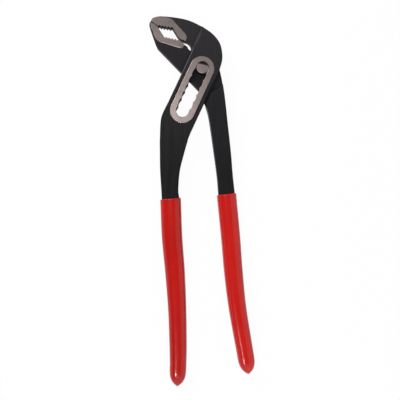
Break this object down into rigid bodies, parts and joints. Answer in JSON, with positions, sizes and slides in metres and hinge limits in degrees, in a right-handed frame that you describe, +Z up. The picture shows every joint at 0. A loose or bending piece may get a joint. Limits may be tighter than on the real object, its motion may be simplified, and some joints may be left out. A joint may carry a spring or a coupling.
{
  "type": "water pump pliers",
  "caption": "Slip-joint water pump pliers with a slotted box joint, a notched adjusting slot, serrated V jaws and dipped grips, for pipes and nuts of many sizes.",
  "frame": {"origin": "centre of the underside of the tool's bounding box, lying flat with the jaws closed and the pin in the first notch", "axes": "+Y from the handle ends towards the jaws, +X towards the handle of the tongue, with the jaws pointing to -X, +Z up from the surface it lies on"},
  "size_m": [0.0858, 0.3012, 0.0134],
  "materials": {
    "black_steel": "black oxide, satin, ground bright on the jaws and round the slot",
    "ground_steel": "surface ground",
    "dipped_grip": "glossy dipped PVC"
  },
  "bodies": {
    "outer": {"outer_lever": "black_steel", "outer_grip": "dipped_grip"},
    "pin": {"pivot_pin": "ground_steel"},
    "inner": {"inner_lever": "black_steel", "inner_grip": "dipped_grip"}
  },
  "joints": [
    {"name": "notch_slide", "type": "slide", "parent": "outer", "child": "pin", "axis": [-0.4226, -0.9063, 0], "range_m": [0, 0.0381]},
    {"name": "jaw_hinge", "type": "hinge", "parent": "pin", "child": "inner", "pos_m": [0, 0.10811, 0.0067], "axis": [0, 0, 1], "range_deg": [0, 60]}
  ]
}
